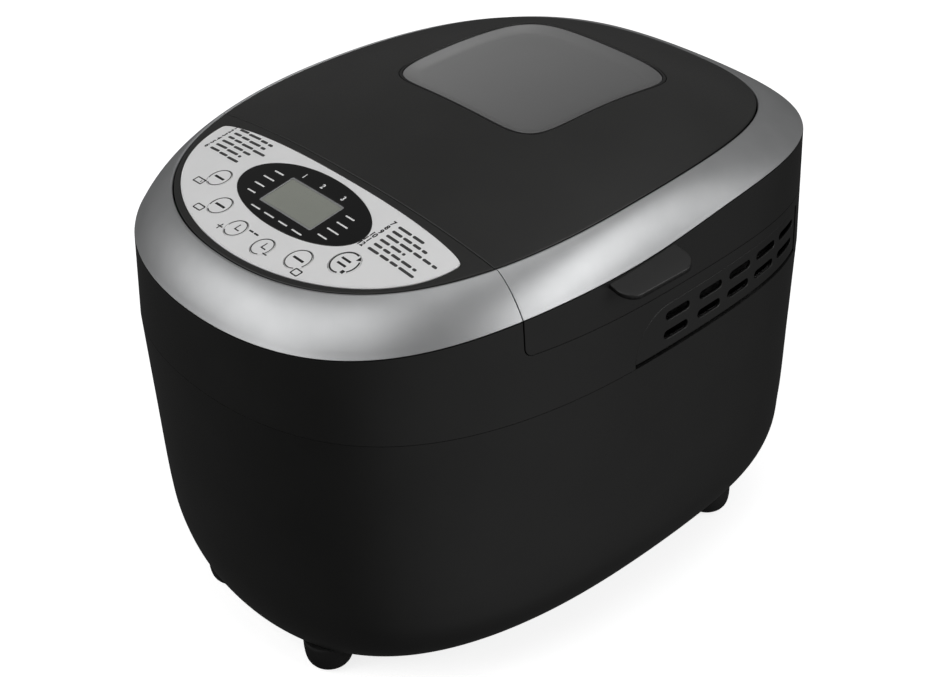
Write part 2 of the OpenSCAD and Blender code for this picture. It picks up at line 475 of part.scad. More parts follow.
module handle_tab() color([0.13, 0.13, 0.12]) tab_at() union() {
    translate([0, 0, -2.8]) linear_extrude(height = 2.8) union() {
        translate([-7.5, -25.5]) square([14.5, 51]);
        translate([5, -15.5]) square([11.9, 31]);
        for (s = [-1, 1]) translate([6.9, s * 15.5]) circle(r = 10, $fn = 64);
    }
    translate([-7.5, -25.5, -8]) cube([2, 51, 8]);
}
module window_frame() color([0.07, 0.07, 0.07]) union() {
    difference() { intersection() { slab(-6, 0.1, 0.97); win_prism(3); } win_prism(0); }
    difference() { intersection() { slab(-6, -4.6, 0.97); win_prism(1); } win_prism(-4); }
}
module window_outer() color([0.5, 0.5, 0.5, 0.5]) intersection() { slab(-4.4, -1.4, 0.97); win_prism(-0.25); }
module window_well() color([0.1, 0.1, 0.1]) translate([0, 0, 232.2]) linear_extrude(height = 44) difference() { win(-4.2); win(-5.8); }
module window_inner() color([0.6, 0.6, 0.6, 0.4]) translate([0, 0, 228.1]) linear_extrude(height = 4) win(-1);
module lid_liner() color("silver") translate([0, 0, 226.6]) difference() {
    linear_extrude(height = 1.4) difference() {
        intersection() { polygon(outline(lev(seam_a - wall - 1.6, seam_b - wall - 2.2, 0, nf, nb))); translate([-300, split_y + 3]) square([600, 400]); }
        win(-6);
        for (y = hinge_ys) translate([-160, y - 7.6]) square([20.5, 15.2]);
    }
}
module lid_seal() color([0.5, 0.2, 0.15]) translate([0, oven_y, 222.75]) rframe(oven_a + 6, oven_b + 6, 33, 5, 3.8);
lscrews = [[-118, -60], [118, -60], [-120, 40], [120, 40], [-118, 130], [118, 130]];
module lid_screws() color("silver") for (q = lscrews) translate([q[0], q[1], 224.9]) difference() { cylinder(r = 3.4, h = 1.65, $fn = 32); translate([-2.5, -0.4, -1]) cube([5, 0.8, 1.6]); }

// ---- lid hinge ----
module knuckle(y0, l) translate([hinge_x, y0, hinge_z]) rotate([-90, 0, 0]) children();
module hinge_brackets() color("dimgray") for (y = hinge_ys) union() {
    for (s = [-1, 1]) difference() {
        union() {
            translate([hinge_x, y + s * 11.5 - 4, hinge_z]) rotate([-90, 0, 0]) cylinder(r = 5.5, h = 8, $fn = 48);
            translate([hinge_x, y + s * 11.5 - 4, hinge_z - 5.5]) cube([18, 8, 4.9]);
        }
        translate([hinge_x, y + s * 11.5 - 5, hinge_z]) rotate([-90, 0, 0]) cylinder(r = 2.5, h = 10, $fn = 48);
    }
    translate([hinge_x + 16, y - 15.5, 198]) cube([2, 31, hinge_z - 0.6 - 198]);
}
module hinge_pins() color("silver") for (y = hinge_ys) translate([hinge_x, y - 16.4, hinge_z]) rotate([-90, 0, 0]) union() { cylinder(r = 2.44, h = 32.8, $fn = 48); cylinder(r = 4, h = 0.7, $fn = 48); }
module lid_hinge_arms() color("dimgray") for (y = hinge_ys) union() {
    difference() {
        union() {
            translate([hinge_x, y - 6.8, hinge_z]) rotate([-90, 0, 0]) cylinder(r = 5.5, h = 13.6, $fn = 48);
            translate([hinge_x, y - 6.8, hinge_z + 0.6]) cube([20, 13.6, 4.9]);
        }
        translate([hinge_x, y - 8, hinge_z]) rotate([-90, 0, 0]) cylinder(r = 2.5, h = 16, $fn = 48);
    }
    translate([hinge_x + 18, y - 14, 228.2]) cube([2, 28, 18]);
}

base_plate();
feet();
base_screws();
lower_housing();
upper_band();
vent_grille_right();
vent_grille_left();
front_trim_ring();
control_fascia();
panel_overlay();
display_bezel();
display_lens();
display_module();
control_board();
buzzer();
power_board();
cable_inlet();
chamber_deck();
oven_chamber();
heat_shield();
heating_element();
temperature_sensor();
chamber_clips();
bearing_block();
motor_stator();
motor_bracket();
motor_capacitor();
drive_belt();
hinge_brackets();
hinge_pins();
lid_shell();
lid_trim_ring();
lid_skirt();
handle_tab();
window_frame();
window_outer();
window_well();
window_inner();
lid_liner();
lid_seal();
lid_screws();
lid_hinge_arms();
bread_pan();
pan_foot();
bail_ears();
shaft_bushing();
shaft_seal();
bail_handle();
pan_shaft();
kneading_paddle();
large_pulley();
drive_coupling();
motor_rotor();
small_pulley();
button_menu();
button_size();
button_time_up();
button_time_down();
button_colour();
button_start();
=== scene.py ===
import math, json
import bpy, bmesh
import numpy as np
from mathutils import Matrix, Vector
from mathutils.geometry import delaunay_2d_cdt


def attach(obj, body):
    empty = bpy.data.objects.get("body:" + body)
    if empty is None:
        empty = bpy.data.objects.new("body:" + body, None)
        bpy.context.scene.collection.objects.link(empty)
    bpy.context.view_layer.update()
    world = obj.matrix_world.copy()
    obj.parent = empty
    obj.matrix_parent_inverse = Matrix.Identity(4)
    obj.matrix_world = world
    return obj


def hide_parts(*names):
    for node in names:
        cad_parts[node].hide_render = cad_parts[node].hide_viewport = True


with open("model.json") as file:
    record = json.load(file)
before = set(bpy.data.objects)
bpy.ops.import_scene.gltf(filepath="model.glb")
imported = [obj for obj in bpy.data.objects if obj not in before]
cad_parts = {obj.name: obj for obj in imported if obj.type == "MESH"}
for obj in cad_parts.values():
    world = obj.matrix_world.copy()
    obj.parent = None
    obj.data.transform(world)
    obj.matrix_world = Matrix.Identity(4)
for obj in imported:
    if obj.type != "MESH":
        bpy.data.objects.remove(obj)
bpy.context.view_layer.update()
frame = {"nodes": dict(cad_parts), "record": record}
scene = bpy.context.scene
NODES = frame["nodes"]

# ---------------------------------------------------------------- dimensions, millimetres, as in the construction
SEAM_A, SEAM_B, SEAM_Z = 149.8, 193.5, 187.7
WAIST_A, WAIST_B, WAIST_Z = 145.4, 190.4, 73.4
BASE_A, BASE_B, BASE_Z = 107.0, 174.5, 20.2
WALL = 2.6
RING_A, RING_B, RING_Z, DIP = 148.7, 190.0, 255.3, 2.9
TOP_A, TOP_B, TOP_Z = 133.4, 173.4, 277.1
DOME, DOME_T, PD = 18.0, 13.5, 2.2
SPLIT, SKIRT, GAP = -83.5, 225.6, 0.35
YC, HI_Y = 5.0, 3.6
NF, NB, NBR, NF2, NB2, NW = 3.17, 3.52, 3.8, 3.01, 2.88, 3.3
K1, K3, K4, K5 = -0.030, 0.011, 0.019, -0.006
LCD_Y, BEZ_Y = -116.9, -115.4
WIN_A, WIN_B, WIN_X, WIN_Y = 65.5, 58.5, -4.0, 54.0
BUTTONS = [("menu", -62.9, -129.2, 7.5), ("size", -38.5, -144.7, 7.5), ("time_up", -12.1, -151.6, 7),
           ("time_down", 14.9, -152.3, 7), ("colour", 40.7, -146.7, 8), ("start", 63.6, -132.9, 9)]
HINGE_YS = (-45, 30)
FEET = [(-52, -160.5), (52, -160.5), (-95, 109.5), (95, 109.5)]


# ---------------------------------------------------------------- the plan curve and its levels
def supr(p, n1, n2):
    p = np.asarray(p, float)
    c, s = np.cos(p), np.sin(p)
    n = np.where(c < 0, n1, n2)
    return (np.abs(c) ** n + np.abs(s) ** n) ** (-1 / n) * np.exp(K1 * c + K3 * np.cos(3 * p) + K4 * np.cos(4 * p) + K5 * np.cos(5 * p))


def lev(p, a, b, z, n1, n2):
    p = np.asarray(p, float)
    r = supr(p, n1, n2)
    return np.stack([a * r * np.sin(p), b * r * np.cos(p) + YC, np.full_like(p, z)], -1)


def seamr(p, d=0.0, z=0.0):
    return lev(p, SEAM_A - d, SEAM_B - d, SEAM_Z + z, NF, NB)


def lor(p, d=0.0, dz=0.0):
    p = np.asarray(p, float)
    r = supr(p, NF, NBR)
    u = r * np.cos(p)
    return np.stack([(RING_A - d) * r * np.sin(p), (RING_B - d) * u + YC, RING_Z + 13.1 * u - 7.5 * u * u - DIP * np.exp(-(u / .3) ** 2) + dz], -1)


def topz(u):
    return TOP_Z + 8.7 * u - 13 * u * u - 5.2 * u ** 3


def hir(p, d=0.0, dz=0.0):
    p = np.asarray(p, float)
    r = supr(p, NF2, NB2)
    u = r * np.cos(p)
    return np.stack([(TOP_A - d) * r * np.sin(p), (TOP_B - d) * u + HI_Y + YC, topz(u) + dz], -1)


def crown(x, y):
    X = np.asarray(x, float) / TOP_A
    Y = (np.asarray(y, float) - HI_Y - YC) / TOP_B
    s = np.hypot(X, Y) / supr(np.arctan2(X, Y), NF2, NB2)
    return topz(Y) + (DOME + DOME_T * Y) * (1 - np.minimum(s, 1.15) ** PD)


def normal(x, y):
    dx = float(crown(x + .5, y) - crown(x - .5, y))
    dy = float(crown(x, y + .5) - crown(x, y - .5))
    v = Vector((-dx, -dy, 1.0))
    return v.normalized()


def mix(A, B, tx, tz):
    return A + (B - A) * np.array([tx, tx, tz])


TAB = np.linspace(0, math.pi, 1501)


def at_y(f, y):
    """angle on the right-hand side where level f reaches y"""
    v = f(TAB)[:, 1]
    return float(np.interp(-y, -v, TAB))


STEPS = (0, .35, .8, 1.4, 2.1, 3.0, 4.2, 6.0)


def cols_back(f, y0, n):
    e = [at_y(f, y0 + d) for d in STEPS]
    mid = np.linspace(e[-1], -e[-1], n)[1:-1]
    return np.concatenate([e, mid, [-v for v in reversed(e)]])


def cols_front(f, y0, n):
    e = [at_y(f, y0 - d) for d in STEPS]
    mid = np.linspace(e[-1], 2 * math.pi - e[-1], n)[1:-1]
    return np.concatenate([e, mid, [2 * math.pi - v for v in reversed(e)]])


# ---------------------------------------------------------------- mesh helpers
def grid(R, close_k=False, close_j=False, caps=False):
    R = np.asarray(R, float)
    K, J, _ = R.shape
    k = np.arange(K if close_k else K - 1)[:, None]
    j = np.arange(J if close_j else J - 1)[None, :]
    a = k * J + j
    b = k * J + (j + 1) % J
    c = ((k + 1) % K) * J + (j + 1) % J
    d = ((k + 1) % K) * J + j
    F = np.stack(np.broadcast_arrays(a, b, c, d), -1).reshape(-1, 4).tolist()
    if caps:
        F.append([i * J for i in range(K)])
        F.append([i * J + J - 1 for i in reversed(range(K))])
    return R.reshape(-1, 3), F


def join(parts):
    V, F, n = [], [], 0
    for v, f in parts:
        V.append(np.asarray(v, float).reshape(-1, 3))
        F += [[i + n for i in q] for q in f]
        n += len(V[-1])
    return np.concatenate(V), F


def mesh_from(name, V, F):
    me = bpy.data.meshes.new(name)
    me.from_pydata((np.asarray(V) * .001).tolist(), [], F)
    bm = bmesh.new()
    bm.from_mesh(me)
    bmesh.ops.remove_doubles(bm, verts=bm.verts, dist=1e-6)
    bmesh.ops.dissolve_degenerate(bm, edges=bm.edges, dist=1e-7)
    bmesh.ops.recalc_face_normals(bm, faces=bm.faces)
    for f in bm.faces:
        f.smooth = True
    bm.to_mesh(me)
    bm.free()
    return me


def boolean(ob, tools, op="DIFFERENCE"):
    """cuts closed meshes (V, F) from ob and keeps the result as its mesh"""
    for V, F in tools:
        t = bpy.data.objects.new("tool", mesh_from("tool", V, F))
        scene.collection.objects.link(t)
        m = ob.modifiers.new("b", "BOOLEAN")
        m.object, m.operation, m.solver = t, op, "EXACT"
        bpy.context.view_layer.update()
        me = bpy.data.meshes.new_from_object(ob.evaluated_get(bpy.context.evaluated_depsgraph_get()))
        ob.modifiers.clear()
        old = ob.data
        ob.data = me
        bpy.data.meshes.remove(old)
        bpy.data.objects.remove(t)
    for p in ob.data.polygons:
        p.use_smooth = True


def make(name, VF, body, slot, *nodes, mat=None, bevel=0.0, seg=3, angle=40, cuts=(), wn=True):
    V, F = VF
    ob = bpy.data.objects.new(name, mesh_from(name, V, F))
    scene.collection.objects.link(ob)
    if cuts:
        boolean(ob, cuts)
    ob.data.materials.clear()
    ob.data.materials.append(mat or MAT[slot])
    if bevel:
        m = ob.modifiers.new("edge", "BEVEL")
        m.width, m.segments, m.limit_method, m.angle_limit = bevel * .001, seg, "ANGLE", math.radians(angle)
        m.use_clamp_overlap = True
    if wn:
        w = ob.modifiers.new("shade", "WEIGHTED_NORMAL")
        w.mode, w.weight, w.keep_sharp = "FACE_AREA", 50, False
    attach(ob, body)
    if nodes:
        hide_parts(*nodes)
    return ob


def box(x0, x1, y0, y1, z0, z1):
    R = [[(x0, y0, z), (x1, y0, z), (x1, y1, z), (x0, y1, z)] for z in (z0, z1)]
    V, F = grid(R, close_j=True)
    return V, F + [[0, 1, 2, 3], [7, 6, 5, 4]]


def prism(P, z0, z1):
    n = len(P)
    V = np.concatenate([np.column_stack([P, np.full(n, z0)]), np.column_stack([P, np.full(n, z1)])])
    return V, [[i, (i + 1) % n, n + (i + 1) % n, n + i] for i in range(n)] + [list(range(n)), list(range(2 * n - 1, n - 1, -1))]


def orient(P, ccw):
    P = np.asarray(P, float)
    x, y = P[:, 0], P[:, 1]
    area = (x * np.roll(y, -1) - np.roll(x, -1) * y).sum()
    return P if (area > 0) == ccw else P[::-1]


def loop_normals(P):
    d = np.roll(P, -1, 0) - P
    d /= np.linalg.norm(d, axis=1)[:, None]
    n = np.stack([-d[:, 1], d[:, 0]], -1)
    m = n + np.roll(n, 1, 0)
    m /= np.linalg.norm(m, axis=1)[:, None]
    return m / np.maximum((m * n).sum(1), .5)[:, None]


def inside(P, L):
    x, y = P[:, 0][:, None], P[:, 1][:, None]
    x1, y1 = L[:, 0][None], L[:, 1][None]
    x2, y2 = np.roll(L[:, 0], -1)[None], np.roll(L[:, 1], -1)[None]
    cross = ((y1 > y) != (y2 > y)) & (x < (x2 - x1) * (y - y1) / np.where(y2 == y1, 1e-12, y2 - y1) + x1)
    return cross.sum(1) % 2 == 1


def triangulate(loops, spacing):
    pts, edges = [], []
    for L in loops:
        b, n = len(pts), len(L)
        pts += [tuple(q) for q in L]
        edges += [(b + i, b + (i + 1) % n) for i in range(n)]
    A = np.array(pts)
    if spacing:
        xs = np.arange(A[:, 0].min() + spacing * .3, A[:, 0].max(), spacing)
        ys = np.arange(A[:, 1].min() + spacing * .3, A[:, 1].max(), spacing * .87)
        G = np.array([(x + (i % 2) * spacing * .5, y) for i, y in enumerate(ys) for x in xs])
        keep = inside(G, loops[0])
        for h in loops[1:]:
            keep &= ~inside(G, h)
        G = G[keep]
        if len(G):
            far = np.ones(len(G), bool)
            for s in range(0, len(A), 200):
                d = np.hypot(G[:, None, 0] - A[None, s:s + 200, 0], G[:, None, 1] - A[None, s:s + 200, 1]).min(1)
                far &= d > spacing * .55
            pts += [tuple(q) for q in G[far]]
    v, e, f, ov, oe, of_ = delaunay_2d_cdt([Vector(q) for q in pts], edges, [], 0, 1e-7)
    V = np.array([tuple(q) for q in v])
    C = np.array([V[list(q)].mean(0) for q in f])
    ok = inside(C, loops[0])
    for h in loops[1:]:
        ok &= ~inside(C, h)
    return V, [list(q) for q, k in zip(f, ok) if k]


def dense(P, step=2.2):
    """splits long sides so that they follow the crown"""
    out = []
    for a, b in zip(P, np.roll(P, -1, 0)):
        k = max(1, int(np.ceil(np.linalg.norm(b - a) / step)))
        out += [a + (b - a) * i / k for i in range(k)]
    return np.array(out)


def plate(outer, holes=(), zt=0.0, zb=-1.0, edge=.4, spacing=4.0, zf=crown, seg=4):
    """solid between two levels of zf over a region of the plane, with its upper rim rounded"""
    loops = [dense(orient(outer, True))] + [dense(orient(h, False)) for h in holes]
    edges = edge if isinstance(edge, (list, tuple)) else [edge] * len(loops)
    parts, top = [], []
    for L, e in zip(loops, edges):
        N = loop_normals(L)
        rows = []
        if e > 0:
            for a in np.linspace(0, math.pi / 2, seg + 1):
                Q = L + N * e * (1 - math.sin(a))
                rows.append(np.column_stack([Q, zf(Q[:, 0], Q[:, 1]) + zt - e * (1 - math.cos(a))]))
            top.append(L + N * e)
        else:
            rows.append(np.column_stack([L, zf(L[:, 0], L[:, 1]) + zt]))
            top.append(L)
        rows.append(np.column_stack([L, zf(L[:, 0], L[:, 1]) + zb]))
        parts.append(grid(np.array(rows), close_j=True))
    V, F = triangulate(top, spacing)
    parts.append((np.column_stack([V, zf(V[:, 0], V[:, 1]) + zt]), F))
    V, F = triangulate(loops, spacing)
    parts.append((np.column_stack([V, zf(V[:, 0], V[:, 1]) + zb]), F))
    return join(parts)


def sell(a, b, n, cx, cy, m=120):
    t = np.linspace(0, 2 * math.pi, m, endpoint=False) + 1e-4
    c, s = np.cos(t), np.sin(t)
    r = (np.abs(c) ** n + np.abs(s) ** n) ** (-1 / n)
    P = np.stack([a * r * c + cx, b * r * s + cy], -1)
    return resample(P, m)


def resample(P, m):
    Q = np.vstack([P, P[:1]])
    d = np.concatenate([[0], np.cumsum(np.linalg.norm(np.diff(Q, axis=0), axis=1))])
    t = np.linspace(0, d[-1], m, endpoint=False)
    return np.stack([np.interp(t, d, Q[:, 0]), np.interp(t, d, Q[:, 1])], -1)


def rrect(a, b, r, cx=0.0, cy=0.0, m=6):
    P = []
    for sx, sy, t0 in ((1, 1, 0), (-1, 1, 90), (-1, -1, 180), (1, -1, 270)):
        for i in range(m + 1):
            t = math.radians(t0 + 90 * i / m)
            P.append((cx + sx * (a - r) + r * math.cos(t), cy + sy * (b - r) + r * math.sin(t)))
    return np.array(P)


def dshape(d, m=260):
    t = np.linspace(0, 2 * math.pi, 1440, endpoint=False) + 1e-4
    c, s = np.cos(t), np.sin(t)
    r = (np.abs(c) ** 2.6 + np.abs(s) ** 2.6) ** (-1 / 2.6)
    P = np.stack([np.where(s < 0, (112.4 + d) * c, (112.4 + d) * r * c), np.where(s < 0, -95.6 + (70.3 + d) * s, -95.6 + (7.5 + d) * r * s)], -1)
    return resample(P, m)


def arc(cx, cy, r, a0, a1, n):
    t = np.radians(np.linspace(a0, a1, n))
    return np.stack([cx + r * np.cos(t), cy + r * np.sin(t)], -1)


def revolve(prof, n=72, centre=(0, 0, 0)):
    t = np.linspace(0, 2 * math.pi, n, endpoint=False)
    R = [[(centre[0] + r * math.cos(a), centre[1] + r * math.sin(a), centre[2] + z) for a in t] for r, z in prof]
    return grid(R, close_j=True)


# ---------------------------------------------------------------- materials
def new_mat(name):
    m = bpy.data.materials.new(name)
    m.use_nodes = True
    nt = m.node_tree
    return m, nt, nt.nodes["Principled BSDF"]


def finish_mat(name, base, dark, rough, metal=0.0, spec=.5, grain=700.0, bump=.06, mottle=35.0, rvar=.06, coat=0.0, coat_rough=.1,
               stretch=None, trans=0.0, ior=1.45, bump_dist=.0002, aniso=0.0):
    """moulded, painted or metal finish: two tones, uneven gloss and a fine grain"""
    m, nt, b = new_mat(name)
    N, L = nt.nodes, nt.links
    tc = N.new("ShaderNodeTexCoord")
    src = tc.outputs["Object"]
    if stretch:
        mp = N.new("ShaderNodeMapping")
        mp.inputs["Scale"].default_value = stretch
        L.new(src, mp.inputs["Vector"])
        src = mp.outputs["Vector"]
    n1 = N.new("ShaderNodeTexNoise")
    n1.inputs["Scale"].default_value, n1.inputs["Detail"].default_value = mottle, 5
    L.new(src, n1.inputs["Vector"])
    n2 = N.new("ShaderNodeTexNoise")
    n2.inputs["Scale"].default_value, n2.inputs["Detail"].default_value = grain, 3
    L.new(src, n2.inputs["Vector"])
    r1 = N.new("ShaderNodeValToRGB")
    r1.color_ramp.elements[0].position, r1.color_ramp.elements[1].position = .35, .68
    r1.color_ramp.elements[0].color, r1.color_ramp.elements[1].color = (*dark, 1), (*base, 1)
    L.new(n1.outputs["Fac"], r1.inputs["Fac"])
    L.new(r1.outputs["Color"], b.inputs["Base Color"])
    mr = N.new("ShaderNodeMapRange")
    mr.inputs["From Min"].default_value, mr.inputs["From Max"].default_value = .3, .7
    mr.inputs["To Min"].default_value, mr.inputs["To Max"].default_value = rough - rvar, rough + rvar
    L.new(n2.outputs["Fac"], mr.inputs["Value"])
    L.new(mr.outputs["Result"], b.inputs["Roughness"])
    bp = N.new("ShaderNodeBump")
    bp.inputs["Strength"].default_value, bp.inputs["Distance"].default_value = bump, bump_dist
    L.new(n2.outputs["Fac"], bp.inputs["Height"])
    L.new(bp.outputs["Normal"], b.inputs["Normal"])
    b.inputs["Metallic"].default_value = metal
    b.inputs["Specular IOR Level"].default_value = spec
    b.inputs["IOR"].default_value = ior
    b.inputs["Coat Weight"].default_value = coat
    b.inputs["Coat Roughness"].default_value = coat_rough
    b.inputs["Transmission Weight"].default_value = trans
    b.inputs["Anisotropic"].default_value = aniso
    return m


MAT = {
    "black_plastic": finish_mat("satin_black_plastic", (.0098, .0098, .0094), (.0080, .0080, .0077), .42, spec=.50, grain=1500, bump=.10, mottle=22),
    "lid_plastic": finish_mat("satin_lid_plastic", (.0165, .0165, .0158), (.0140, .0140, .0134), .40, spec=.45, grain=1500, bump=.08, mottle=22),
    "silver_trim": finish_mat("silver_lacquer", (.46, .465, .47), (.435, .44, .445), .44, metal=.88, spec=.5, grain=2600, bump=.05, mottle=60, rvar=.03, coat=.08, coat_rough=.25),
    "overlay_film": finish_mat("printed_film_grey", (.86, .86, .86), (.83, .83, .83), .42, metal=.10, spec=.45, grain=2200, bump=.04, mottle=40, rvar=.04),
    "gloss_black": finish_mat("gloss_black_film", (.004, .004, .004), (.003, .003, .003), .16, spec=.4, grain=900, bump=.01, mottle=30, rvar=.02),
    "lcd": finish_mat("lcd_glass", (.27, .28, .245), (.235, .245, .215), .30, spec=.5, grain=1800, bump=.02, mottle=18, rvar=.03, coat=.6, coat_rough=.06),
    "circuit_board": finish_mat("circuit_laminate", (.02, .12, .05), (.012, .08, .03), .35, spec=.5, grain=500, bump=.15, mottle=220),
    "smoked_glass": finish_mat("frosted_smoked_glass_painted_reflection", (.175, .175, .175), (.150, .150, .150), .36, spec=.55, grain=2400, bump=.12, mottle=26, rvar=.04, coat=.35, coat_rough=.22),
    "clear_glass": finish_mat("oven_glass", (.75, .77, .77), (.70, .72, .72), .06, spec=.5, grain=400, bump=.01, mottle=12, rvar=.02, trans=.9),
    "steel_sheet": finish_mat("plated_sheet", (.52, .52, .51), (.40, .40, .40), .34, metal=1, grain=260, bump=.05, mottle=70, rvar=.09, stretch=(1, 1, 6)),
    "aluminium_cast": finish_mat("cast_aluminium", (.50, .50, .51), (.38, .38, .39), .48, metal=1, grain=900, bump=.3, mottle=150, rvar=.08),
    "non_stick": finish_mat("non_stick_coating", (.030, .030, .030), (.018, .018, .018), .42, metal=.3, spec=.4, grain=1800, bump=.2, mottle=90, rvar=.08, coat=.2, coat_rough=.3),
    "heater_sheath": finish_mat("heater_sheath", (.16, .15, .15), (.07, .068, .07), .42, metal=.9, grain=900, bump=.12, mottle=60, rvar=.1),
    "rubber_black": finish_mat("black_rubber", (.012, .012, .012), (.007, .007, .007), .72, spec=.3, grain=1400, bump=.25, mottle=60, rvar=.08),
    "silicone": finish_mat("red_silicone", (.30, .055, .035), (.22, .04, .028), .55, spec=.4, grain=900, bump=.08, mottle=40),
    "brass_bush": finish_mat("machined_brass", (.62, .45, .18), (.50, .34, .12), .30, metal=1, grain=500, bump=.06, mottle=80, stretch=(1, 1, 12)),
    "steel_bright": finish_mat("bright_steel", (.62, .62, .63), (.50, .50, .51), .24, metal=1, grain=500, bump=.05, mottle=90, rvar=.07, stretch=(1, 1, 5)),
    "motor_iron": finish_mat("motor_laminations", (.20, .20, .215), (.10, .10, .11), .45, metal=.9, grain=60, bump=.5, mottle=300, rvar=.1, stretch=(.2, .2, 25)),
    "cap_case": finish_mat("capacitor_case", (.62, .62, .56), (.54, .54, .49), .32, spec=.5, grain=900, bump=.04, mottle=40),
    "print_dark": finish_mat("print_dark_ink", (.018, .018, .018), (.012, .012, .012), .55, spec=.3, grain=2000, bump=.05, mottle=90),
    "print_grey": finish_mat("print_grey_ink", (.060, .060, .060), (.045, .045, .045), .55, spec=.3, grain=2000, bump=.05, mottle=90),
    "print_light": finish_mat("print_light_ink", (.85, .85, .85), (.80, .80, .80), .55, spec=.3, grain=2000, bump=.05, mottle=90),
}
# painted reflection: the smoked window's base colour is painted lighter towards the hinge side (-X) and darker
# towards +X, standing in for the light the glass reflects
nt = MAT["smoked_glass"].node_tree
ct, cs, cm, cr = (nt.nodes.new(k) for k in ("ShaderNodeTexCoord", "ShaderNodeSeparateXYZ", "ShaderNodeMapRange", "ShaderNodeValToRGB"))
cm.inputs["From Min"].default_value, cm.inputs["From Max"].default_value = -.07, .062
cr.color_ramp.elements[0].color, cr.color_ramp.elements[1].color = (.215, .215, .215, 1), (.110, .110, .110, 1)
nt.links.new(ct.outputs["Object"], cs.inputs["Vector"])
nt.links.new(cs.outputs["X"], cm.inputs["Value"])
nt.links.new(cm.outputs["Result"], cr.inputs["Fac"])
nt.links.new(cr.outputs["Color"], nt.nodes["Principled BSDF"].inputs["Base Color"])
for s in frame["record"]["subparts"]:
    me = NODES[s["node"]].data
    me.materials.clear()
    me.materials.append(MAT[s["material_slot"]])

# ---------------------------------------------------------------- lower housing
NC = 400
PH = np.linspace(0, 2 * math.pi, NC, endpoint=False)


def catmull(P, per):
    P = np.array(P, float)
    Q = np.vstack([2 * P[0] - P[1], P, 2 * P[-1] - P[-2]])
    out = []
    for i in range(1, len(Q) - 2):
        p0, p1, p2, p3 = Q[i - 1], Q[i], Q[i + 1], Q[i + 2]
        a = [0.0]
        for u, v in ((p0, p1), (p1, p2), (p2, p3)):
            a.append(a[-1] + np.linalg.norm(v - u) ** .5)
        for t in np.linspace(a[1], a[2], per, endpoint=False):
            A1 = (a[1] - t) / (a[1] - a[0]) * p0 + (t - a[0]) / (a[1] - a[0]) * p1
            A2 = (a[2] - t) / (a[2] - a[1]) * p1 + (t - a[1]) / (a[2] - a[1]) * p2
            A3 = (a[3] - t) / (a[3] - a[2]) * p2 + (t - a[2]) / (a[3] - a[2]) * p3
            B1 = (a[2] - t) / (a[2] - a[0]) * A1 + (t - a[0]) / (a[2] - a[0]) * A2
            B2 = (a[3] - t) / (a[3] - a[1]) * A2 + (t - a[1]) / (a[3] - a[1]) * A3
            out.append((a[2] - t) / (a[2] - a[1]) * B1 + (t - a[1]) / (a[2] - a[1]) * B2)
    out.append(P[-1])
    return np.array(out)


PROFILE = catmull([(0, 0), (15, 3.9), (27.7, 15), (36.4, 32.1), (39.6, 51.8), (42.7, 108.9), (45.4, 165.95)], 7)


def body_level(p, X, Z, d):
    if X <= 39.6:  # underside rounding, as a share of the way to the waist
        A = lev(p, BASE_A - d, BASE_B - d, BASE_Z, NW, NW)
        B = lev(p, WAIST_A - d, WAIST_B - d, WAIST_Z, NW, NW)
        return mix(A, B, X / 39.6, Z / 51.8)
    B = lev(p, WAIST_A - d, WAIST_B - d, WAIST_Z, NW, NW)
    S = seamr(p, d, -.15)
    return mix(B, S, (X - 39.6) / 5.8, (Z - 51.8) / 114.15)


outer_rows = [body_level(PH, X, Z, 0) for X, Z in PROFILE]
inner_rows = [body_level(PH, X, Z + (1.2 if X < 38 else 0), WALL) for X, Z in PROFILE[::-3]]
make("lower_housing_shell", grid(outer_rows + inner_rows, True, True), "housing", "black_plastic", "lower_housing", bevel=.55,
     cuts=[(lambda V, F: (V, F + [list(range(40)), list(range(79, 39, -1))]))(*grid([[(30 + 7.3 * math.cos(a), y, 58 + 7.3 * math.sin(a)) for a in np.linspace(0, 2 * math.pi, 40, endpoint=False)] for y in (170, 205)], close_j=True))])

# feet: rounded rubber pads
for i, (x, y) in enumerate(FEET):
    prof = [(0, 0), (4.6, 0), (6.8, .3), (8.7, .95), (10.3, 1.85), (11.7, 3.05), (12.8, 4.55), (13.65, 6.4), (14.2, 8.5), (14.55, 11), (14.75, 14), (14.8, 18.6), (14.3, 19.6), (13.4, 20), (4, 20), (4, 18.2), (0, 18.2)]
    ob = make("foot_%d" % (i + 1), revolve(prof, 64, (x, y, 0)), "housing", "rubber_black", *(["feet"] if i == 0 else []))


# ---------------------------------------------------------------- band between the seam and the ring
def band(p, t, d):
    S, L = seamr(p, d, .15), lor(p, d, -.2)
    return S + (L - S) * (t if np.isscalar(t) else np.asarray(t)[:, None])


CUT = .42  # half the visible gap at the front of the lid
RF = 4.2   # corner radius of the skirt


def t_skirt(p, r=RF + 2 * CUT, y0=SPLIT - CUT):
    """share of the band's height at its top edge behind the split, with a fillet in the corner"""
    S, L = seamr(p, 0, .15), lor(p, 0, -.2)
    y = S[:, 1] + (L[:, 1] - S[:, 1]) * (SKIRT - SEAM_Z) / (L[:, 2] - SEAM_Z)
    q = np.clip(r - (y - y0), 0, r)
    return (SKIRT + r - np.sqrt(r * r - q * q) - S[:, 2]) / (L[:, 2] - S[:, 2])


